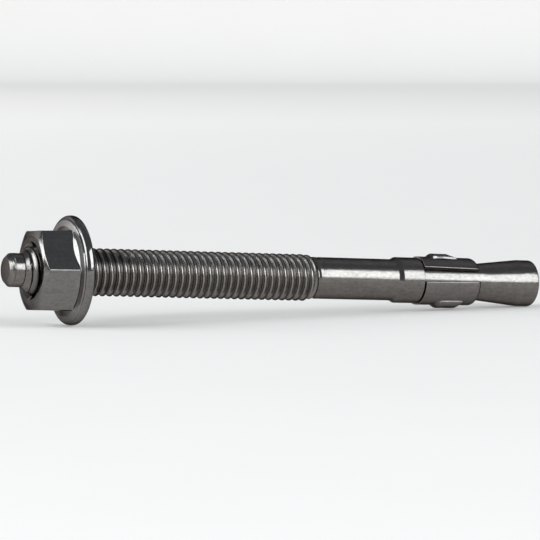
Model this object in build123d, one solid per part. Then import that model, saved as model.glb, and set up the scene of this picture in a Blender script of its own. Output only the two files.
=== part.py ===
"""M8 wedge anchor for concrete, about 97 mm long, lying at rest.

The stud is one cold-formed piece: impact pin, rolled thread, shank, collar, neck and
expansion cone. A rolled sheet clip sits round the neck, and a hexagon flange nut sits on
the thread. Each piece is modelled on the stud's own axis, +X, with station 0 at the end
face of the impact pin. The whole anchor is then laid down, so that the nut's flange rim
and the rim of the cone touch the ground plane.

Azimuths are degrees round the stud's axis, from -Y upwards towards +Z.
"""

from build123d import *
import math
import os

# Stud, millimetres and degrees
THREAD_D = 7.8
THREAD_LENGTH = 50.26
PIN_D = 5.48
PIN_LENGTH = 2.58
PIN_CHAMFER = 0.68
PIN_SHOULDER_ANGLE = 45.0
SHANK_D = 6.99
SHANK_LENGTH = 15.2
THREAD_RUNOUT = 0.5
COLLAR_D = 7.75
COLLAR_LENGTH = 4.1
COLLAR_STEP = 0.75
COLLAR_STEP_HOLLOW = 0.6
COLLAR_STEP_CHAMFER = 0.1
COLLAR_CHAMFER = 0.12
NECK_D = 6.34
CONE_D = 7.92
CONE_LENGTH = 7.6
CONE_LAND = 2.67
CONE_BLEND = 6.0
CONE_RIM_CHAMFER = 0.22

# Expansion clip
CLIP_SHEET = 0.8
CLIP_LENGTH = 10.8
CLIP_RADIAL_CLEARANCE = 0.065
CLIP_AXIAL_CLEARANCE = 0.15
CLIP_CONE_CLEARANCE = 1.0
CLIP_FLARE = 0.07
CLIP_NOSE_R = 0.85
CLIP_EDGE_CHAMFER = 0.18
CLIP_GAP_AZIMUTH = 20.0
CLIP_GAP_ANGLE_COLLAR = 37.0
CLIP_GAP_ANGLE_CONE = 32.0
BUMP_HEIGHT = 0.55
BUMP_AZIMUTH = 97.0
BUMP_ANGLE = 68.0
BUMP_SIDE_ANGLE = 6.0
BUMP_RAMP = 0.8
BUMP_ROUNDING = 0.3
BUMP_UPPER_START = 2.1
BUMP_UPPER_FLAT = 2.55
BUMP_UPPER_TAIL = 2.1
BUMP_LOWER_START = 3.25
BUMP_LOWER_FLAT = 3.25
BUMP_LOWER_TAIL = 1.1

# Flange nut
NUT_STATION = 4.5
NUT_HEIGHT = 7.47
NUT_ACROSS_FLATS = 12.85
NUT_CORNER_ROUNDING = 0.25
NUT_CORNER_AZIMUTH = 4.1
NUT_FACE_D = 11.9
NUT_CHAMFER_ANGLE = 18.5
NUT_COUNTERSINK_D = 8.45
NUT_THREAD_CLEARANCE = 0.05
FLANGE_D = 17.6
FLANGE_RIM = 1.36
FLANGE_SLOPE = 31.0
FLANGE_FRONT_CHAMFER = 0.25
FLANGE_BACK_CHAMFER = 0.28

PARTS_FOLDER = "parts"

# Radii
thread_r = THREAD_D / 2
pin_r = PIN_D / 2
shank_r = SHANK_D / 2
collar_r = COLLAR_D / 2
neck_r = NECK_D / 2
cone_r = CONE_D / 2
flange_r = FLANGE_D / 2
clip_inner_r = neck_r + CLIP_RADIAL_CLEARANCE
clip_outer_r = clip_inner_r + CLIP_SHEET

# Stations along the stud's axis
thread_start = PIN_LENGTH + (thread_r - pin_r) / math.tan(math.radians(PIN_SHOULDER_ANGLE))
thread_end = thread_start + THREAD_LENGTH
shank_start = thread_end + THREAD_RUNOUT
shank_end = shank_start + SHANK_LENGTH
collar_start = shank_end + COLLAR_STEP
collar_end = collar_start + COLLAR_LENGTH
clip_start = collar_end + CLIP_AXIAL_CLEARANCE
clip_end = clip_start + CLIP_LENGTH
cone_start = clip_end + CLIP_CONE_CLEARANCE
land_start = cone_start + CONE_LENGTH
stud_end = land_start + CONE_LAND
bearing_face = NUT_STATION + NUT_HEIGHT
rim_front = bearing_face - FLANGE_RIM


def turned(corners):
    """Solid of revolution about +X from (station, radius, corner rounding) points."""
    points = [(station, radius) for station, radius, _ in corners]
    roundings = [rounding for _, _, rounding in corners]
    outline = FilletPolyline(*points, radius=roundings, close=True)
    return revolve(Plane.XZ * make_face(outline), Axis.X)


def polar(radius, azimuth):
    """Point of a cross-section on Plane.YZ."""
    angle = math.radians(azimuth)
    return (-radius * math.cos(angle), radius * math.sin(angle))


def cross_section(station):
    return Plane.YZ.offset(station)


def make_stud():
    return turned(
        [
            (0, 0, 0),
            (0, pin_r - PIN_CHAMFER, 0),
            (PIN_CHAMFER, pin_r, 0),
            (PIN_LENGTH, pin_r, 0),
            (thread_start, thread_r, 0),
            (thread_end, thread_r, 0),
            (shank_start, shank_r, 0),
            (shank_end, shank_r, COLLAR_STEP_HOLLOW),
            (collar_start - COLLAR_STEP_CHAMFER, collar_r - COLLAR_STEP_CHAMFER, 0),
            (collar_start + COLLAR_STEP_CHAMFER, collar_r, 0),
            (collar_end - COLLAR_CHAMFER, collar_r, 0),
            (collar_end, collar_r - COLLAR_CHAMFER, 0),
            (collar_end, neck_r, 0),
            (cone_start, neck_r, CONE_BLEND),
            (land_start, cone_r, CONE_BLEND),
            (stud_end - CONE_RIM_CHAMFER, cone_r, 0),
            (stud_end, cone_r - CONE_RIM_CHAMFER, 0),
            (stud_end, 0, 0),
        ]
    )


def make_clip_ring():
    """Slightly flared sheet ring. Its cone end is a rounded nose."""
    nose_reach = math.sqrt(CLIP_NOSE_R**2 - (CLIP_NOSE_R - CLIP_SHEET) ** 2)
    nose_start = clip_end - nose_reach
    nose_centre_r = clip_outer_r - CLIP_NOSE_R
    bisector = math.acos((CLIP_NOSE_R - CLIP_SHEET) / CLIP_NOSE_R) / 2
    nose_middle = (
        nose_start + CLIP_NOSE_R * math.sin(bisector),
        nose_centre_r + CLIP_NOSE_R * math.cos(bisector),
    )
    flared_r = clip_outer_r + CLIP_FLARE
    sides = Polyline(
        (clip_end, clip_inner_r),
        (clip_start, clip_inner_r + CLIP_FLARE),
        (clip_start, flared_r - CLIP_EDGE_CHAMFER),
        (clip_start + CLIP_EDGE_CHAMFER, flared_r),
        (nose_start, clip_outer_r),
    )
    nose = ThreePointArc((nose_start, clip_outer_r), nose_middle, (clip_end, clip_inner_r))
    return revolve(Plane.XZ * make_face(sides + nose), Axis.X)


def make_clip_gap():
    """Wedge between the sheet's two ends, wider at the collar than at the cone."""
    reach = 2 * (clip_outer_r + BUMP_HEIGHT)
    margin = CLIP_SHEET
    faces = []
    for station, angle in (
        (clip_start - margin, CLIP_GAP_ANGLE_COLLAR),
        (clip_end + margin, CLIP_GAP_ANGLE_CONE),
    ):
        wedge = Polyline(
            (0, 0),
            polar(reach, CLIP_GAP_AZIMUTH - angle / 2),
            polar(reach, CLIP_GAP_AZIMUTH + angle / 2),
            close=True,
        )
        faces.append(cross_section(station) * make_face(wedge))
    return loft(faces)


def make_bump(azimuth, lengths, foot_r, inset):
    """Raised patch with a steep face to the collar, a longer tail and sloping sides.

    The lengths are its start on the clip, its flat and its tail. The inset narrows it all
    round by that length, for the hollow inside the sheet.
    """
    start, flat, tail = lengths
    core_r = foot_r - CLIP_SHEET / 2
    top_r = foot_r + BUMP_HEIGHT
    low = clip_start + start + inset
    high = clip_start + start + BUMP_RAMP + flat + tail - inset
    ring = turned(
        [
            (low, core_r, 0),
            (low, foot_r, 0),
            (low + BUMP_RAMP, top_r, BUMP_ROUNDING),
            (high - tail, top_r, BUMP_ROUNDING),
            (high, foot_r, 0),
            (high, core_r, 0),
        ]
    )
    foot = BUMP_ANGLE / 2 - math.degrees(inset / foot_r)
    top = foot - BUMP_SIDE_ANGLE
    reach = top_r + foot_r
    sector = Polyline(
        polar(core_r, azimuth - foot),
        polar(foot_r, azimuth - foot),
        polar(top_r, azimuth - top),
        polar(reach, azimuth - top),
        polar(reach, azimuth + top),
        polar(top_r, azimuth + top),
        polar(foot_r, azimuth + foot),
        polar(core_r, azimuth + foot),
        (0, 0),
        close=True,
    )
    return ring & extrude(cross_section(low) * make_face(sector), high - low)


def make_clip():
    """C-shaped clip with two embossed bumps, opposite each other, hollow inside."""
    clip = make_clip_ring() - make_clip_gap()
    hollow_inset = CLIP_SHEET / 2
    for azimuth, lengths in (
        (BUMP_AZIMUTH, (BUMP_UPPER_START, BUMP_UPPER_FLAT, BUMP_UPPER_TAIL)),
        (BUMP_AZIMUTH + 180, (BUMP_LOWER_START, BUMP_LOWER_FLAT, BUMP_LOWER_TAIL)),
    ):
        clip += make_bump(azimuth, lengths, clip_outer_r, 0)
        clip -= make_bump(azimuth, lengths, clip_inner_r, hollow_inset)
    return clip


def make_nut_hexagon():
    """Hexagon with rounded corners, one of them upwards, and a chamfered outer face."""
    corner_r = NUT_ACROSS_FLATS / 2 / math.cos(math.radians(30))
    hexagon = RegularPolygon(corner_r, 6)
    hexagon = fillet(hexagon.vertices(), NUT_CORNER_ROUNDING)
    hexagon = Rot(0, 0, 90) * hexagon
    prism = extrude(cross_section(NUT_STATION) * hexagon, NUT_HEIGHT - FLANGE_RIM)
    chamfer_depth = (corner_r - NUT_FACE_D / 2) * math.tan(math.radians(NUT_CHAMFER_ANGLE))
    envelope = turned(
        [
            (NUT_STATION, 0, 0),
            (NUT_STATION, NUT_FACE_D / 2, 0),
            (NUT_STATION + chamfer_depth, corner_r, 0),
            (rim_front, corner_r, 0),
            (rim_front, 0, 0),
        ]
    )
    return prism & envelope


def make_nut_flange():
    slope = math.tan(math.radians(FLANGE_SLOPE))
    slope_length = flange_r * slope
    front_slope = FLANGE_FRONT_CHAMFER * slope
    return turned(
        [
            (rim_front - slope_length, 0, 0),
            (rim_front - front_slope, flange_r - FLANGE_FRONT_CHAMFER, 0),
            (rim_front + FLANGE_FRONT_CHAMFER, flange_r, 0),
            (bearing_face - FLANGE_BACK_CHAMFER, flange_r, 0),
            (bearing_face, flange_r - FLANGE_BACK_CHAMFER, 0),
            (bearing_face, 0, 0),
        ]
    )


def make_nut_bore():
    """Threaded hole at the thread's major diameter, countersunk at both faces."""
    bore_r = thread_r + NUT_THREAD_CLEARANCE
    mouth_r = max(NUT_COUNTERSINK_D / 2, bore_r)
    depth = mouth_r - bore_r
    return turned(
        [
            (NUT_STATION, 0, 0),
            (NUT_STATION, mouth_r, 0),
            (NUT_STATION + depth, bore_r, 0),
            (bearing_face - depth, bore_r, 0),
            (bearing_face, mouth_r, 0),
            (bearing_face, 0, 0),
        ]
    )


def make_nut():
    nut = make_nut_hexagon() + make_nut_flange() - make_nut_bore()
    return Rot(90 - NUT_CORNER_AZIMUTH, 0, 0) * nut


def rest_location():
    """Lays the stud down on the back edge of the flange's rim and the cone's end edge."""
    flange_edge = bearing_face - FLANGE_BACK_CHAMFER
    cone_edge = stud_end - CONE_RIM_CHAMFER
    tilt = math.atan2(flange_r - cone_r, cone_edge - flange_edge)
    lift = flange_edge * math.sin(tilt) + flange_r * math.cos(tilt)
    left = -(pin_r - PIN_CHAMFER) * math.sin(tilt)
    right = stud_end * math.cos(tilt) + (cone_r - CONE_RIM_CHAMFER) * math.sin(tilt)
    return Pos(-(left + right) / 2, 0, lift) * Rot(0, math.degrees(tilt), 0)


def main():
    os.makedirs(PARTS_FOLDER, exist_ok=True)
    laid_down = rest_location()
    for name, piece in (
        ("anchor_bolt", make_stud()),
        ("expansion_clip", make_clip()),
        ("flange_nut", make_nut()),
    ):
        export_step(laid_down * piece, os.path.join(PARTS_FOLDER, name + ".step"))


if __name__ == "__main__":
    main()
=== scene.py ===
"""Looks of an M8 wedge anchor: its threaded stud, rolled clip and flange nut, in a pale studio.

Every shape is worked out on the stud's own axis, as a station along it (mm from the impact
pin's end face), a radius (mm) and an azimuth (degrees, from the near side upwards). place()
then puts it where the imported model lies.
"""

import math

import bmesh
import bpy
import numpy as np
from mathutils import Matrix, Vector


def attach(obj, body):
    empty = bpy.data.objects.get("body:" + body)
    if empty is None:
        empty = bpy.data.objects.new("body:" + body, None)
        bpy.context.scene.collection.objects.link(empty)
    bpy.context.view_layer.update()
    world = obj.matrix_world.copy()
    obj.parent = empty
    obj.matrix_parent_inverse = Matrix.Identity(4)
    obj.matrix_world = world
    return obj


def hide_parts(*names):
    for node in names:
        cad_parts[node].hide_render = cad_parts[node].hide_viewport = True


MM = 0.001

# Meshes, metres and degrees
WELD = 1.5e-6
SHORTEST_EDGE = 1e-6
SHARP_ANGLE = 38.0

# Stud: stations and radii in millimetres
STUD_SIDES = 96
THREAD_R = 3.9
THREAD_ROOT_R = 3.23
THREAD_PITCH = 1.25
THREAD_PHASE = 15.42
THREAD_PHASE_AZIMUTH = 4.0
# Where the crests sink to the shank, and where the roots rise to it
THREAD_CREST_FADE = (53.4, 54.9)
THREAD_ROOT_FADE = (54.0, 56.4)
RUN_OUT_LAND = 0.05
# Half of the thread's profile from the crest's middle: (distance along the stud, depth)
THREAD_PROFILE = (
    (0.0, 0.0),
    (0.05, 0.004),
    (0.09, 0.03),
    (0.12, 0.075),
    (0.27, 0.335),
    (0.42, 0.595),
    (0.50, 0.648),
    (0.56, 0.665),
)
PIN_R = 2.74
PIN_LENGTH = 2.58
PIN_CHAMFER = 0.68
PIN_TIP_ROUNDING = 0.12
# Fine grooves behind the pin's chamfer and at the foot of its shoulder
PIN_LIP = 0.03
PIN_GROOVE_DEPTH = 0.075
PIN_GROOVE_MIDDLE = 0.15
PIN_GROOVE_END = 0.19
FOOT_GROOVE_DEPTH = 0.04
FOOT_GROOVE_LENGTH = 0.2
SHOULDER_END = 3.0
SHANK_R = 3.495
SHANK_END = 69.7
COLLAR_START = 70.45
COLLAR_END = 74.55
COLLAR_R = 3.875
COLLAR_STEP_SHIFT = 0.12
NECK_R = 3.17
CONE_START = 86.5
CONE_LAND = 94.1
STUD_END = 96.77
CONE_R = 3.96
CONE_BLEND = 6.0
CONE_RIM_ROUNDING = 0.3
CONE_RIM_CHAMFER = 0.22

# Nut
NUT_START = 4.5
NUT_END = 11.97
NUT_FLAT_R = 6.435
NUT_FLAT_HALF = 2.8
NUT_SHOULDER_ANGLE = 5.0
NUT_SHOULDER_ROUNDING = 6.0
NUT_CORNER_ROUNDING = 0.22
NUT_CORNER_AZIMUTH = 4.1
NUT_DRAFT = 1.0
NUT_MIDDLE = 8.2
NUT_FACE = 4.32
# The face is nearly flat inside the first of these radii, and its chamfer starts at the second
NUT_FACE_EDGE = (5.55, 5.65)
# Slopes of the face and of the flange's front: (radius, degrees), straight in between
NUT_FACE_SLOPES = ((4.6, 0), (5.55, 3), (5.65, 13), (6.0, 15), (6.43, 18), (7.0, 26), (7.4, 45))
FLANGE_SLOPES = ((6.43, 37), (7.15, 37), (7.25, 15))
# Radii of the rings of points down the flange's slope. Outside a corner of the hexagon that
# reaches past them they crowd together, starting this far from its foot.
FLANGE_RINGS = (6.9, 7.05, 7.15, 7.2, 7.25, 7.5, 7.75, 8.0, 8.15, 8.25)
FLANGE_RING_START = 0.17
FLANGE_RING_STEP = 0.012
NUT_FACE_ROUNDING = 0.07
NUT_FOOT_ROUNDING = 0.2
NUT_MOUTH_R = 4.7
NUT_THREAD_GAP = 0.16
NUT_THREAD_CREST_R = 3.36
FLANGE_R = 8.8
FLANGE_BULGE = 0.1
FLANGE_FOOT = 9.5
FLANGE_CROWN = 11.35
FLANGE_CROWN_ROUNDING = 1.6
FLANGE_FRONT_ROUNDING = 0.6
FLANGE_FRONT_ARC = (9, 76)
FLANGE_BACK_ROUNDING = 0.42
FLANGE_BACK_CHAMFER = 0.28

# How the nut sits askew on its thread: degrees about the near side's axis, lift in mm
NUT_COCK = 0.7
FLANGE_COCK = 1.77
NUT_FACE_TURN = 1.2
NUT_LIFT = 0.044
# The hexagon's lean passes into the flange's between these radii
NUT_TO_FLANGE = (6.5, 8.0)
# The face's turn grows between these radii, and dies away between these stations
FACE_TURN_RADII = (4.2, 5.0)
FACE_TURN_STATIONS = (5.5, 9.0)

# Clip
CLIP_START = 74.7
CLIP_END = 85.5
CLIP_INNER_R = 3.235
CLIP_SHEET = 0.8
CLIP_FLARE = 0.07
CLIP_NOSE_R = 0.85
CLIP_GAP_AZIMUTH = 20.0
CLIP_GAP_HALF_COLLAR = 18.5
CLIP_GAP_HALF_CONE = 16.0
CLIP_EDGE_ROUNDING = 0.13
CLIP_EDGE_ANGLES = (22.5, 45, 67.5, 90)
# The gap's edges are rounded by no more than this share of the sheet where it thins out
CLIP_EDGE_SHARE = 0.45
CLIP_EDGE_LEAST = 1e-4
CLIP_START_ROUNDING = 0.07
CLIP_THINNEST = 1e-3
# How far back from the cone's end the sheet is rounded off
CLIP_NOSE_REACH = math.sqrt(CLIP_NOSE_R**2 - (CLIP_NOSE_R - CLIP_SHEET) ** 2)
BUMP_RAMP = 0.8
# Each bump: azimuth of its middle, half its angle, height, start on the clip, flat, tail
BUMPS = (
    (97.0, 24.0, 0.57, 2.1, 2.55, 2.1),
    (277.0, 32.0, 0.52, 3.15, 3.2, 1.1),
)
# How a bump's sides rise: degrees in from its edge, and the share of its height
BUMP_SIDE = ((0, 0.85, 2.3, 9.3), (0, 0.35, 0.61, 1))

# Steel, millimetres: the grain's depth, and how softly the zones of painted light and shade end
# along the stud and away from its axis
GRAIN_DEPTH = 0.03
SOFT_STATION = 0.08
SOFT_RADIUS = 0.12

# Camera, degrees and millimetres: the axis at its station is seen this far right of the
# picture's middle and below it
CAMERA_AZIMUTH = -25.8227
CAMERA_ELEVATION = 4.3082
CAMERA_DISTANCE = 573.2
CAMERA_STATION = 50
CAMERA_RIGHT = 2.512
CAMERA_BELOW = 1.179
CAMERA_FOCAL_SHARE = 3440.9 / 540
CAMERA_SENSOR = 36

# Floor, metres: its size, its paper, and how much paler it looks near the anchor and far off
FLOOR_R = 1.9
FLOOR_WALL = 0.08
FLOOR_BEND = 0.06
FLOOR_COLOURS = ((0.79, 0.75, 0.72), (0.82, 0.78, 0.75))
FLOOR_LIFT = (0.18, 0.4)
FLOOR_LIFT_FROM = (0.1, 1.0)

# Sky
SKY_COLOUR = (0.85, 0.92, 1.0)
SKY_STRENGTH = 0.27

# Lamps: azimuth, elevation, distance, width, height (degrees, metres), radiance and colour
COOL = (0.93, 1.0, 1.03)
LAMPS = {
    "softbox_front": (30, 25, 1.5, 0.95, 0.94, 5.6, COOL),
    "softbox_left_low": (-102.5, 15.5, 1.4, 1.654, 0.42, 5.6, COOL),
    "softbox_left_high": (-96.5, 32.5, 1.4, 1.126, 0.42, 5.6, COOL),
    "softbox_strip": (-138, 8, 1.6, 0.34, 0.23, 6.0, COOL),
    "softbox_high": (128, 46, 1.5, 1.1, 1.0, 0.15, (0.98, 0.98, 1.0)),
    "softbox_back": (-168, 17, 1.6, 1.3, 0.75, 1.0, (1.0, 0.98, 0.98)),
}

# How the anchor lies: on the back edge of the flange's rim and on the cone's end edge
FLANGE_EDGE = NUT_END - FLANGE_BACK_CHAMFER
CONE_EDGE = STUD_END - CONE_RIM_CHAMFER
TILT = math.atan2(FLANGE_R - CONE_R, CONE_EDGE - FLANGE_EDGE)
AXIS = np.array([math.cos(TILT), 0, -math.sin(TILT)])
UP = np.array([math.sin(TILT), 0, math.cos(TILT)])
NEAR = np.array([0.0, -1.0, 0.0])
LEFT_END = -(PIN_R - PIN_CHAMFER) * math.sin(TILT)
RIGHT_END = STUD_END * math.cos(TILT) + (CONE_R - CONE_RIM_CHAMFER) * math.sin(TILT)
ORIGIN = np.array(
    [
        -(LEFT_END + RIGHT_END) / 2,
        0,
        FLANGE_EDGE * math.sin(TILT) + FLANGE_R * math.cos(TILT),
    ]
)


def place(station, radius, azimuth):
    """World points in metres."""
    station, radius, azimuth = np.broadcast_arrays(
        np.asarray(station, float), np.asarray(radius, float), np.radians(azimuth)
    )
    return MM * (
        ORIGIN
        + station[..., None] * AXIS
        + (radius * np.cos(azimuth))[..., None] * NEAR
        + (radius * np.sin(azimuth))[..., None] * UP
    )


# ---------------------------------------------------------------- mesh helpers


def rounded(corners, steps=5):
    """Open outline through (station, radius, rounding) corners, with arcs at the corners."""
    out = [corners[0][:2]]
    for before, corner, after in zip(corners, corners[1:], corners[2:]):
        p, q, r = (np.array(c[:2], float) for c in (before, corner, after))
        rounding = corner[2]
        if rounding == 0:
            out.append(tuple(q))
            continue
        into, outof = (p - q) / np.linalg.norm(p - q), (r - q) / np.linalg.norm(r - q)
        half = math.acos(max(-1.0, min(1.0, float(into @ outof)))) / 2
        reach = rounding / math.tan(half)
        centre = q + (into + outof) / np.linalg.norm(into + outof) * rounding / math.sin(half)
        start, end = q + into * reach - centre, q + outof * reach - centre
        turn = math.atan2(start[0] * end[1] - start[1] * end[0], start @ end)
        for k in range(steps + 1):
            a = turn * k / steps
            c, s = math.cos(a), math.sin(a)
            out.append(tuple(centre + (start[0] * c - start[1] * s, start[0] * s + start[1] * c)))
    out.append(corners[-1][:2])
    return np.array(out)


def subdivided(outline, longest):
    """The same outline with no step longer than that along it."""
    out = [outline[0]]
    for a, b in zip(outline, outline[1:]):
        pieces = max(1, math.ceil(np.linalg.norm(b - a) / longest))
        out.extend(a + (b - a) * k / pieces for k in range(1, pieces + 1))
    return np.array(out)


class Shape:
    """Vertices and faces of one piece, welded where its grids meet."""

    def __init__(self):
        self.points, self.faces, self.count = [], [], 0

    def grid(self, points, seam_shift=0):
        """Faces over points[column][row]. The last column meets the first one, seam_shift
        rows down."""
        columns, rows = points.shape[:2]
        index = self.count + np.arange(columns * rows).reshape(columns, rows)
        self.points.append(points.reshape(-1, 3))
        self.count += columns * rows
        for i in range(columns):
            a, b = index[i], index[(i + 1) % columns]
            if i == columns - 1 and seam_shift:
                shifted = np.clip(np.arange(rows) - seam_shift, 0, rows - 1)
                b = b[shifted]
            self.faces.extend(zip(a[:-1], a[1:], b[1:], b[:-1]))
        return index

    def build(self, name):
        mesh = bpy.data.meshes.new(name)
        mesh.from_pydata(
            np.concatenate(self.points).tolist(), [], [tuple(map(int, f)) for f in self.faces]
        )
        work = bmesh.new()
        work.from_mesh(mesh)
        bmesh.ops.remove_doubles(work, verts=work.verts, dist=WELD)
        bmesh.ops.dissolve_degenerate(work, edges=work.edges, dist=SHORTEST_EDGE)
        bmesh.ops.recalc_face_normals(work, faces=work.faces)
        work.to_mesh(mesh)
        work.free()
        mesh.shade_smooth()
        mesh.set_sharp_from_angle(angle=math.radians(SHARP_ANGLE))
        made = bpy.data.objects.new(name, mesh)
        bpy.context.scene.collection.objects.link(made)
        return made


def thread_rows():
    """Offsets and depths over one pitch, from one crest's middle to the next."""
    half = list(THREAD_PROFILE)
    bottom = (THREAD_PITCH / 2, THREAD_R - THREAD_ROOT_R)
    other = [(THREAD_PITCH - x, depth) for x, depth in half[:0:-1]]
    return np.array(half + [bottom] + other)


def thread_grid(azimuths, first, last, radius_of, placed=place):
    """Points of a helical surface between two stations, and how far its seam is shifted.

    It has some turns to spare at both ends, which are drawn in to the two stations."""
    rows = thread_rows()
    turns_before = math.ceil((THREAD_PHASE - first) / THREAD_PITCH) + 2
    turns = math.ceil((last - first) / THREAD_PITCH) + 4
    start = THREAD_PHASE - turns_before * THREAD_PITCH
    offsets = np.concatenate([rows[:, 0] + THREAD_PITCH * k for k in range(turns)])
    depths = np.tile(rows[:, 1], turns)
    lead = THREAD_PITCH * (azimuths - THREAD_PHASE_AZIMUTH) / 360
    station = start + offsets[None, :] - lead[:, None]
    outside = (station < first) | (station > last)
    station = np.clip(station, first, last)
    depth = np.broadcast_to(depths, station.shape)
    radius = radius_of(station, np.where(outside, 0, depth))
    return placed(station, radius, azimuths[:, None]), len(rows)


def smoothstep(x):
    x = np.clip(x, 0, 1)
    return x * x * (3 - 2 * x)


# ---------------------------------------------------------------- stud


def make_stud():
    azimuths = np.arange(0, 360, 360 / STUD_SIDES)
    pin = rounded(
        [
            (0, 0, 0),
            (0, PIN_R - PIN_CHAMFER, PIN_TIP_ROUNDING),
            (PIN_CHAMFER - PIN_LIP, PIN_R - PIN_LIP, 0.05),
            (PIN_CHAMFER + PIN_GROOVE_MIDDLE, PIN_R - PIN_GROOVE_DEPTH, 0.03),
            (PIN_CHAMFER + PIN_GROOVE_END, PIN_R, 0.03),
            (PIN_LENGTH - FOOT_GROOVE_LENGTH, PIN_R, 0.08),
            (PIN_LENGTH, PIN_R - FOOT_GROOVE_DEPTH, 0.06),
            (SHOULDER_END, PIN_R + SHOULDER_END - PIN_LENGTH, 0),
        ]
    )

    def threaded(station, depth):
        shoulder = PIN_R + station - PIN_LENGTH
        crest, root = (
            1 - smoothstep((station - start) / (end - start))
            for start, end in (THREAD_CREST_FADE, THREAD_ROOT_FADE)
        )
        over = THREAD_R - depth - SHANK_R
        return np.minimum(SHANK_R + over * np.where(over > 0, crest, root), shoulder)

    rear_start = THREAD_ROOT_FADE[1] + RUN_OUT_LAND
    rear = rounded(
        [
            (rear_start, SHANK_R, 0),
            (SHANK_END + COLLAR_STEP_SHIFT, SHANK_R, 0.5),
            (COLLAR_START + COLLAR_STEP_SHIFT, COLLAR_R, 0.2),
            (COLLAR_END, COLLAR_R, 0.14),
            (COLLAR_END, NECK_R, 0.12),
            (CONE_START, NECK_R, CONE_BLEND),
            (CONE_LAND, CONE_R, CONE_BLEND),
            (STUD_END, CONE_R, CONE_RIM_ROUNDING),
            (STUD_END, 0, 0),
        ],
        steps=8,
    )
    stud = Shape()
    for outline in (pin, subdivided(rear, 1.5)):
        stud.grid(place(outline[None, :, 0], outline[None, :, 1], azimuths[:, None]))
    points, shift = thread_grid(azimuths, SHOULDER_END, rear_start, threaded)
    stud.grid(points, seam_shift=shift)
    return stud.build("stud_threaded")


# ---------------------------------------------------------------- nut


def hexagon_section():
    """Azimuths and radii round the hexagon, whose flats ease off towards the corners."""
    shoulder = math.radians(NUT_SHOULDER_ANGLE)
    tan30 = math.tan(math.radians(30))
    length = (NUT_FLAT_R * tan30 - NUT_FLAT_HALF) / (
        math.cos(shoulder) + math.sin(shoulder) * tan30
    )
    across = NUT_FLAT_HALF + length * math.cos(shoulder)
    corner = (across, NUT_FLAT_R - length * math.sin(shoulder))
    half = [
        (0, NUT_FLAT_R, 0),
        (NUT_FLAT_HALF, NUT_FLAT_R, NUT_SHOULDER_ROUNDING),
        (*corner, NUT_CORNER_ROUNDING),
    ]
    cos60, sin60 = math.cos(math.radians(60)), math.sin(math.radians(60))
    mirrored = [
        (x * -cos60 + y * sin60, x * sin60 + y * cos60, rounding) for x, y, rounding in half
    ]
    outline = subdivided(rounded(half + mirrored[1::-1], steps=8), 0.4)[:-1]
    azimuths = 30 - np.degrees(np.arctan2(outline[:, 0], outline[:, 1]))
    radii = np.hypot(outline[:, 0], outline[:, 1])
    turns = 60 * np.arange(6)
    all_azimuths = (NUT_CORNER_AZIMUTH - azimuths[None, :] + turns[:, None]).ravel()
    return all_azimuths, np.tile(radii, 6)


def slope_rise(profile, radii):
    """How far along the stud a face with slopes (radius, degrees) falls back by each radius."""
    at, slopes = np.array(profile, float).T
    step, reach = 0.01, 9.0
    steps = np.arange(at[0], reach, step)
    tangents = np.tan(np.radians(np.interp(steps, at, slopes)))
    return np.interp(radii, steps, np.cumsum(tangents) * step)


def flange_rim():
    """The flange's crowned rim: three arcs that meet smoothly, from its front to its back."""
    radius, crown = FLANGE_R + FLANGE_BULGE, FLANGE_CROWN_ROUNDING
    front, back = FLANGE_FRONT_ROUNDING, FLANGE_BACK_ROUNDING
    middle = np.array([FLANGE_CROWN, radius - crown])
    away = (NUT_END - back - FLANGE_CROWN) / (crown - back)
    first, last = (math.radians(angle) for angle in FLANGE_FRONT_ARC)
    ends = (last, math.radians(90) + math.asin(away))

    def along(angle):
        return np.array([-math.cos(angle), math.sin(angle)])

    centres = (
        middle + (crown - front) * along(ends[0]),
        middle,
        middle + (crown - back) * along(ends[1]),
    )
    spans = (
        (front, np.linspace(first, ends[0], 14)),
        (crown, np.linspace(*ends, 9)[1:-1]),
        (back, np.linspace(ends[1], math.pi, 9)),
    )
    return [
        tuple(centre + rounding * along(angle))
        for centre, (rounding, angles) in zip(centres, spans)
        for angle in angles
    ]


def nut_outline(middle):
    """From the outer mouth round the outside to the inner mouth, where the hexagon's
    radius is this."""
    draft = math.tan(math.radians(NUT_DRAFT))
    front = middle - (NUT_MIDDLE - NUT_START) * draft
    back = middle + (FLANGE_FOOT - NUT_MIDDLE) * draft
    flat_r = np.linspace(NUT_MOUTH_R, NUT_FACE_EDGE[0], 5)
    face_r = np.concatenate([flat_r, np.linspace(NUT_FACE_EDGE[1], front, 7)])
    crowded = back + FLANGE_RING_START + FLANGE_RING_STEP * np.arange(len(FLANGE_RINGS))
    slope_r = np.maximum(FLANGE_RINGS, crowded)
    corners = [(NUT_FACE + slope_rise(NUT_FACE_SLOPES, r), r, 0) for r in face_r[:-1]]
    corners.append((NUT_FACE + slope_rise(NUT_FACE_SLOPES, front), front, NUT_FACE_ROUNDING))
    corners.append((FLANGE_FOOT + slope_rise(FLANGE_SLOPES, back), back, NUT_FOOT_ROUNDING))
    corners += [(FLANGE_FOOT + slope_rise(FLANGE_SLOPES, r), r, 0) for r in slope_r]
    corners += [(at, r, 0) for at, r in flange_rim()]
    corners.append((NUT_END, NUT_MOUTH_R, 0))
    return rounded(corners, steps=6)


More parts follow.
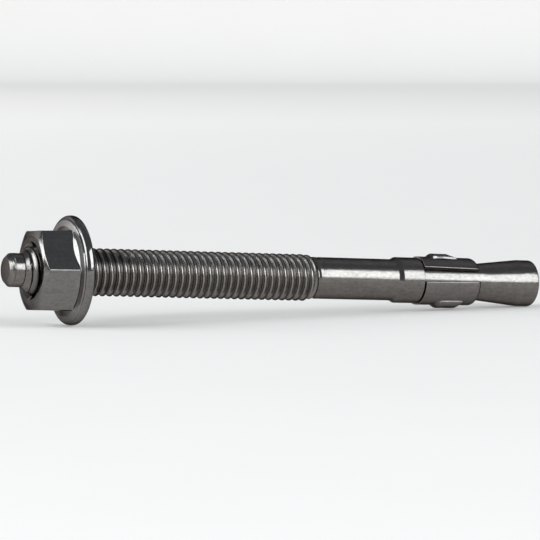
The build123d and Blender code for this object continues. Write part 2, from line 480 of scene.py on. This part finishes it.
def place_nut(station, radius, azimuth):
    """As place(), for the nut, which sits a little askew on its thread."""
    station, radius, azimuth = np.broadcast_arrays(
        np.asarray(station, float), np.asarray(radius, float), np.radians(azimuth)
    )
    near, up = radius * np.cos(azimuth), radius * np.sin(azimuth)
    cock = np.interp(radius, NUT_TO_FLANGE, (NUT_COCK, FLANGE_COCK))
    off_mouth = np.interp(radius, FACE_TURN_RADII, (0, 1))
    turned = off_mouth * np.interp(station, FACE_TURN_STATIONS, (1, 0))
    leaning = near * turned * math.tan(math.radians(NUT_FACE_TURN))
    moved = station - up * np.tan(np.radians(cock)) - leaning
    lift = np.interp(radius, NUT_TO_FLANGE, (NUT_LIFT, NUT_LIFT + FLANGE_BULGE))
    up = up + lift + (station - NUT_MIDDLE) * math.tan(math.radians(NUT_COCK))
    return MM * (ORIGIN + moved[..., None] * AXIS + near[..., None] * NEAR + up[..., None] * UP)


def make_nut():
    azimuths, radii = hexagon_section()
    outlines = np.array([nut_outline(r) for r in radii])

    def threaded(station, depth):
        radius = np.maximum(THREAD_R - depth + NUT_THREAD_GAP, NUT_THREAD_CREST_R)
        outer_mouth = NUT_MOUTH_R - (station - NUT_FACE)
        inner_mouth = NUT_MOUTH_R - (NUT_END - station)
        return np.maximum(radius, np.maximum(outer_mouth, inner_mouth))

    nut = Shape()
    nut.grid(place_nut(outlines[:, :, 0], outlines[:, :, 1], azimuths[:, None]))
    points, shift = thread_grid(azimuths, NUT_FACE, NUT_END, threaded, place_nut)
    nut.grid(points, seam_shift=shift)
    return nut.build("nut_flanged")


# ---------------------------------------------------------------- clip


def bump_height(station, azimuth):
    """Height of the two embossed bumps over the clip's sheet."""
    height = 0
    for middle, half, top, start, flat, tail in BUMPS:
        along = station - CLIP_START - start
        rise = np.clip(along / BUMP_RAMP, 0, 1)
        fall = 1 - np.clip((along - BUMP_RAMP - flat) / tail, 0, 1)
        off = np.abs((azimuth - middle + 180) % 360 - 180)
        side = np.interp(half - off, *BUMP_SIDE)
        height = height + top * np.minimum(rise, np.minimum(fall, side))
    return height


def clip_outer(station):
    """Outer radius of the clip's sheet: flared to the collar, rounded off at the cone."""
    outer = CLIP_INNER_R + CLIP_SHEET
    nose_start = CLIP_END - CLIP_NOSE_REACH
    flare = CLIP_FLARE * np.clip((nose_start - station) / (nose_start - CLIP_START), 0, 1)
    into_nose = np.clip(station - nose_start, 0, CLIP_NOSE_REACH)
    nose = outer - CLIP_NOSE_R + np.sqrt(CLIP_NOSE_R**2 - into_nose**2)
    edge = CLIP_START_ROUNDING
    into_edge = np.clip(CLIP_START + edge - station, 0, edge)
    drop = edge - np.sqrt(edge**2 - into_edge**2)
    return nose + flare - drop


def clip_inner(station):
    flare = CLIP_FLARE * (CLIP_END - station) / (CLIP_END - CLIP_START)
    return CLIP_INNER_R + flare


def clip_stations():
    """Stations of the clip's loops, close together where its ends are rounded."""
    edge = CLIP_START_ROUNDING * np.array([0, 0.1, 0.3, 0.6, 1])
    nose_shares = np.array([0, 0.2, 0.4, 0.55, 0.7, 0.82, 0.91, 0.97, 1.0])
    nose = CLIP_END - CLIP_NOSE_REACH * (1 - nose_shares)
    first, last, step = CLIP_START + 0.2, CLIP_END - CLIP_NOSE_REACH - 0.05, 0.15
    body = np.arange(first, last, step)
    return np.concatenate([CLIP_START + edge, body, nose])


def clip_loop(station, share):
    """Points round the sheet at a station: its outside, one edge of the gap, its inside and
    the other edge. Share says where the outside's points lie from edge to edge."""
    along = (station - CLIP_START) / (CLIP_END - CLIP_START)
    half = CLIP_GAP_HALF_COLLAR + (CLIP_GAP_HALF_CONE - CLIP_GAP_HALF_COLLAR) * along
    top, bottom = float(clip_outer(station)), float(clip_inner(station))
    rounding = min(CLIP_EDGE_ROUNDING, CLIP_EDGE_SHARE * (top - bottom) + CLIP_EDGE_LEAST)
    inset = math.degrees(rounding / (CLIP_INNER_R + CLIP_SHEET))
    low, high = CLIP_GAP_AZIMUTH + half, CLIP_GAP_AZIMUTH - half + 360
    azimuth = low + inset + (high - low - 2 * inset) * share
    lift = bump_height(station, azimuth)
    outer = top + lift
    inner = np.minimum(bottom + lift, outer - CLIP_THINNEST)

    quarter = np.radians(CLIP_EDGE_ANGLES)
    r_out = top - rounding + rounding * np.cos(quarter)
    r_in = bottom + rounding - rounding * np.cos(quarter)
    edge_r = np.concatenate([r_out, r_in[::-1]])
    edges = []
    for end, sign in ((high, 1), (low, -1)):
        turned = end - sign * inset + sign * inset * np.sin(quarter)
        edges.append(np.concatenate([turned, turned[::-1]]))
    loop_az = np.concatenate([azimuth, edges[0], azimuth[::-1], edges[1][::-1]])
    loop_r = np.concatenate([outer, edge_r, inner[::-1], edge_r[::-1]])
    return place(station, loop_r, loop_az)


def make_clip():
    stations = clip_stations()
    share = np.linspace(0, 1, 181)
    loops = np.array([clip_loop(station, share) for station in stations])

    clip = Shape()
    index = clip.grid(loops.transpose(1, 0, 2))
    n = len(share)
    arc = 2 * len(CLIP_EDGE_ANGLES)
    for row in (0, len(stations) - 1):
        ring = index[:, row]
        outer, inner = ring[:n], ring[n + arc : 2 * n + arc][::-1]
        for k in range(n - 1):
            clip.faces.append((outer[k], outer[k + 1], inner[k + 1], inner[k]))
        clip.faces.append((outer[-1], *ring[n : n + arc], inner[-1]))
        clip.faces.append((inner[0], *ring[2 * n + arc :], outer[0]))
    return clip.build("clip_sheet")


# ---------------------------------------------------------------- materials


class Nodes:
    """Short calls for building a material's node tree."""

    def __init__(self, name):
        self.material = bpy.data.materials.new(name)
        self.material.use_nodes = True
        self.tree = self.material.node_tree
        self.shader = self.tree.nodes["Principled BSDF"]

    def add(self, kind, settings=None, **inputs):
        node = self.tree.nodes.new(kind)
        for key, value in (settings or {}).items():
            setattr(node, key, value)
        for key, value in inputs.items():
            self.put(node, key.replace("_", " "), value)
        return node

    def put(self, node, socket, value):
        if isinstance(value, bpy.types.NodeSocket):
            self.tree.links.new(value, node.inputs[socket])
        else:
            node.inputs[socket].default_value = value

    def along_stud(self, stretch):
        """Object coordinates turned onto the stud's axis and stretched, in millimetres."""
        coordinates = self.add("ShaderNodeTexCoord").outputs["Object"]
        mapping = self.add("ShaderNodeMapping", {"vector_type": "POINT"}, Vector=coordinates)
        mapping.inputs["Rotation"].default_value = (0, -TILT, 0)
        scaled = self.add("ShaderNodeVectorMath", {"operation": "MULTIPLY"})
        self.tree.links.new(mapping.outputs["Vector"], scaled.inputs[0])
        scaled.inputs[1].default_value = [c / MM for c in stretch]
        return scaled.outputs[0]

    def about_axis(self):
        """Station along the stud and distance from its axis, in millimetres."""
        turned = self.along_stud((1, 1, 1))
        start = [float(ORIGIN @ AXIS), 0, float(ORIGIN @ UP)]
        moved = self.add("ShaderNodeVectorMath", {"operation": "SUBTRACT"})
        self.tree.links.new(turned, moved.inputs[0])
        moved.inputs[1].default_value = start
        parts = self.add("ShaderNodeSeparateXYZ", Vector=moved.outputs[0]).outputs
        squares = [self.math("MULTIPLY", parts[k], parts[k]) for k in (1, 2)]
        return parts[0], self.math("SQRT", self.math("ADD", *squares))

    def between(self, value, low, high, soft):
        """1 from low to high, fading to 0 within soft outside them."""
        rise = self.remap(value, low - soft, low, 0, 1)
        fall = self.remap(value, high, high + soft, 1, 0)
        return self.math("MULTIPLY", rise, fall)

    def noise(self, stretch, detail, roughness=0.6):
        node = self.add(
            "ShaderNodeTexNoise",
            {"noise_dimensions": "3D"},
            Vector=self.along_stud(stretch),
            Scale=1.0,
            Detail=detail,
            Roughness=roughness,
        )
        return node.outputs["Fac"]

    def remap(self, value, low, high, to_low, to_high):
        node = self.add("ShaderNodeMapRange", Value=value)
        for socket, number in (
            ("From Min", low),
            ("From Max", high),
            ("To Min", to_low),
            ("To Max", to_high),
        ):
            node.inputs[socket].default_value = number
        return node.outputs["Result"]

    def math(self, operation, a, b=0.0):
        """Result of one math node."""
        node = self.add("ShaderNodeMath", {"operation": operation})
        for socket, value in ((0, a), (1, b)):
            self.put(node, socket, value)
        return node.outputs[0]

    def mix_colour(self, factor, a, b, blend="MIX"):
        node = self.add("ShaderNodeMix", {"data_type": "RGBA", "blend_type": blend})
        self.put(node, 0, factor)
        self.put(node, 6, a)
        self.put(node, 7, b)
        return node.outputs[2]


def steel(name, light, dark, smooth, rough, streak, bump, painted_light_zones=()):
    """Satin stainless steel: blotches of tone, fine grain, and drawing marks along the stud.

    The last argument holds zones of painted light and shade. Their tone is multiplied to stand
    in for lamp light or shade there, and they are also made rougher, as (what its tone is
    multiplied by, how much rougher it is, stations, radii)."""
    n = Nodes(name)
    blotch = n.remap(n.noise((0.35, 0.5, 0.5), 3.0), 0.3, 0.7, 0.0, 1.0)
    grain = n.noise((6.0, 9.0, 9.0), 5.0, 0.7)
    marks = n.noise(streak, 3.0, 0.55)
    mottle = n.noise((1.6, 2.4, 2.4), 4.0, 0.65)
    tone = n.math("MULTIPLY", blotch, 0.25)
    for noise, share in ((marks, 0.2), (grain, 0.15), (mottle, 0.4)):
        tone = n.math("ADD", tone, n.math("MULTIPLY", n.remap(noise, 0.35, 0.65, 0, 1), share))
    colour = n.mix_colour(tone, (*dark, 1), (*light, 1))
    roughness = n.remap(grain, 0.3, 0.7, smooth, rough)
    station, radius = n.about_axis()
    # Painted light and shade: each zone's tone is multiplied, paler where light is painted in and
    # darker where shade is painted in, and the zone is made rougher
    for multiplied, rougher, stations, radii in painted_light_zones:
        along = n.between(station, *stations, SOFT_STATION)
        inside = n.math("MULTIPLY", along, n.between(radius, *radii, SOFT_RADIUS))
        level = n.remap(inside, 0, 1, 1, multiplied)
        grey = n.add("ShaderNodeCombineColor", Red=level, Green=level, Blue=level)
        colour = n.mix_colour(1.0, colour, grey.outputs[0], "MULTIPLY")
        roughness = n.math("ADD", roughness, n.math("MULTIPLY", inside, rougher))
    n.put(n.shader, "Base Color", colour)
    n.put(n.shader, "Metallic", 1.0)
    n.put(n.shader, "Specular Tint", (0.25, 0.25, 0.25, 1))
    n.put(n.shader, "Roughness", roughness)
    height = n.math("ADD", n.math("MULTIPLY", grain, 0.7), n.math("MULTIPLY", marks, 0.6))
    normal = n.add("ShaderNodeBump", Height=height, Strength=bump, Distance=GRAIN_DEPTH * MM)
    n.put(n.shader, "Normal", normal.outputs["Normal"])
    return n.material


def floor_material():
    n = Nodes("floor_paper")
    fibre = n.noise((0.02, 0.02, 0.02), 3.0)
    darker, paler = ((*colour, 1) for colour in FLOOR_COLOURS)
    n.put(n.shader, "Base Color", n.mix_colour(fibre, darker, paler))
    n.put(n.shader, "Roughness", 0.9)
    n.put(n.shader, "Specular IOR Level", 0.1)
    rays = n.add("ShaderNodeLightPath").outputs
    seen = n.math("MAXIMUM", rays["Is Camera Ray"], rays["Is Glossy Ray"])
    seen = n.math("MAXIMUM", seen, rays["Is Transmission Ray"])
    place_on_floor = n.add("ShaderNodeTexCoord").outputs["Object"]
    away = n.add("ShaderNodeVectorMath", {"operation": "LENGTH"}, Vector=place_on_floor)
    lift = n.remap(away.outputs["Value"], *FLOOR_LIFT_FROM, *FLOOR_LIFT)
    n.put(n.shader, "Emission Color", (1, 1, 1, 1))
    n.put(n.shader, "Emission Strength", n.math("MULTIPLY", seen, lift))
    return n.material


# ---------------------------------------------------------------- studio


def make_floor():
    """Round pale floor that curves up into a low wall all the way round."""
    flat_end = FLOOR_R - FLOOR_BEND
    outline = [(0.0, 0.0), (0.3, 0.0), (0.8, 0.0), (flat_end, 0.0)]
    for k in range(1, 13):
        a = math.pi / 2 * k / 12
        outline.append((flat_end + FLOOR_BEND * math.sin(a), FLOOR_BEND - FLOOR_BEND * math.cos(a)))
    outline.append((FLOOR_R, FLOOR_WALL))
    angles = np.radians(np.arange(0, 360, 3.75))
    floor = Shape()
    floor.grid(
        np.array([[(r * math.cos(a), r * math.sin(a), z) for r, z in outline] for a in angles])
    )
    made = floor.build("floor")
    made.data.materials.append(floor_material())


def direction(azimuth, elevation):
    """Unit vector. Azimuth 0 is towards the near side, -Y, and turns to +X."""
    a, e = math.radians(azimuth), math.radians(elevation)
    return Vector((math.sin(a) * math.cos(e), -math.cos(a) * math.cos(e), math.sin(e)))


def softbox(name, azimuth, elevation, distance, width, height, radiance, colour):
    """Rectangular lamp that faces the anchor. Radiance is what its reflection shows."""
    lamp = bpy.data.lights.new(name, "AREA")
    lamp.shape = "RECTANGLE"
    lamp.size, lamp.size_y = width, height
    lamp.energy = radiance * width * height * math.pi
    lamp.color = colour
    made = bpy.data.objects.new(name, lamp)
    bpy.context.scene.collection.objects.link(made)
    towards = direction(azimuth, elevation)
    made.location = towards * distance
    made.rotation_euler = towards.to_track_quat("Z", "Y").to_euler()
    made.visible_camera = False


def make_world():
    world = bpy.data.worlds.new("studio")
    bpy.context.scene.world = world
    world.use_nodes = True
    background = world.node_tree.nodes["Background"]
    background.inputs["Color"].default_value = (*SKY_COLOUR, 1)
    background.inputs["Strength"].default_value = SKY_STRENGTH


def make_camera():
    """Long lens, low on the near side, with the impact pin nearest."""
    azimuth, elevation = math.radians(CAMERA_AZIMUTH), math.radians(CAMERA_ELEVATION)
    forward = np.array(
        [
            -math.sin(azimuth) * math.cos(elevation),
            math.cos(azimuth) * math.cos(elevation),
            -math.sin(elevation),
        ]
    )
    right = np.array([math.cos(azimuth), math.sin(azimuth), 0])
    down = np.cross(forward, right)
    middle = ORIGIN + CAMERA_STATION * AXIS
    eye = middle - CAMERA_DISTANCE * forward - CAMERA_RIGHT * right - CAMERA_BELOW * down
    camera = bpy.data.cameras.new("camera")
    camera.sensor_width = CAMERA_SENSOR
    camera.lens = CAMERA_FOCAL_SHARE * CAMERA_SENSOR
    camera.clip_start = 0.01
    made = bpy.data.objects.new("camera", camera)
    bpy.context.scene.collection.objects.link(made)
    turned = Matrix((right, -down, -forward)).transposed().to_4x4()
    made.matrix_world = Matrix.Translation(Vector(eye * MM)) @ turned
    bpy.context.scene.camera = made


# ---------------------------------------------------------------- scene

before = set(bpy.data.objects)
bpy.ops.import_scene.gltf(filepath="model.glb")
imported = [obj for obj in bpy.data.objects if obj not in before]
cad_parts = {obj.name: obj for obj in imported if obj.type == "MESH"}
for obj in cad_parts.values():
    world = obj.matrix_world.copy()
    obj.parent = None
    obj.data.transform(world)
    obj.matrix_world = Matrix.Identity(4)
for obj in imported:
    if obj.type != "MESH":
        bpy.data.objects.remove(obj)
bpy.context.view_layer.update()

bpy.context.scene.view_settings.view_transform = "Standard"
make_camera()
make_floor()
make_world()
for name, lamp in LAMPS.items():
    softbox(name, *lamp)

# Painted light and shade on the steel, as multiplied tone: the thread's roots and lower flanks are
# painted paler, standing in for lamp light caught in them; its crests are painted darker, as
# painted shade; the flange's slope is painted paler, as a painted reflection. Each zone is also
# rougher.
thread_roots_painted_light = (1.7, 0.1, (12.0, 54.4), (3.0, 3.62))
thread_crests_painted_shade = (0.5, 0.1, (3.2, 54.2), (3.74, 4.1))
flange_slope_painted_light = (1.3, 0.28, (9.8, 10.9), (7.35, 8.2))
stud_steel = steel(
    "stud_steel",
    light=(0.22, 0.204, 0.194),
    dark=(0.115, 0.105, 0.099),
    smooth=0.13,
    rough=0.22,
    streak=(0.12, 4.0, 4.0),
    bump=0.4,
    painted_light_zones=(thread_roots_painted_light, thread_crests_painted_shade),
)
clip_steel = steel(
    "clip_steel",
    light=(0.22, 0.203, 0.196),
    dark=(0.12, 0.11, 0.106),
    smooth=0.18,
    rough=0.28,
    streak=(0.3, 3.0, 3.0),
    bump=0.7,
)
nut_steel = steel(
    "nut_steel",
    light=(0.23, 0.217, 0.21),
    dark=(0.135, 0.127, 0.122),
    smooth=0.05,
    rough=0.11,
    streak=(0.1, 2.5, 2.5),
    bump=0.2,
    painted_light_zones=(flange_slope_painted_light,),
)

for piece, body, node, slot_name, material in (
    (make_stud(), "stud", "anchor_bolt", "stud_steel", stud_steel),
    (make_clip(), "clip", "expansion_clip", "clip_steel", clip_steel),
    (make_nut(), "nut", "flange_nut", "nut_steel", nut_steel),
):
    piece.data.materials.append(material)
    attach(piece, body)
    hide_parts(node)
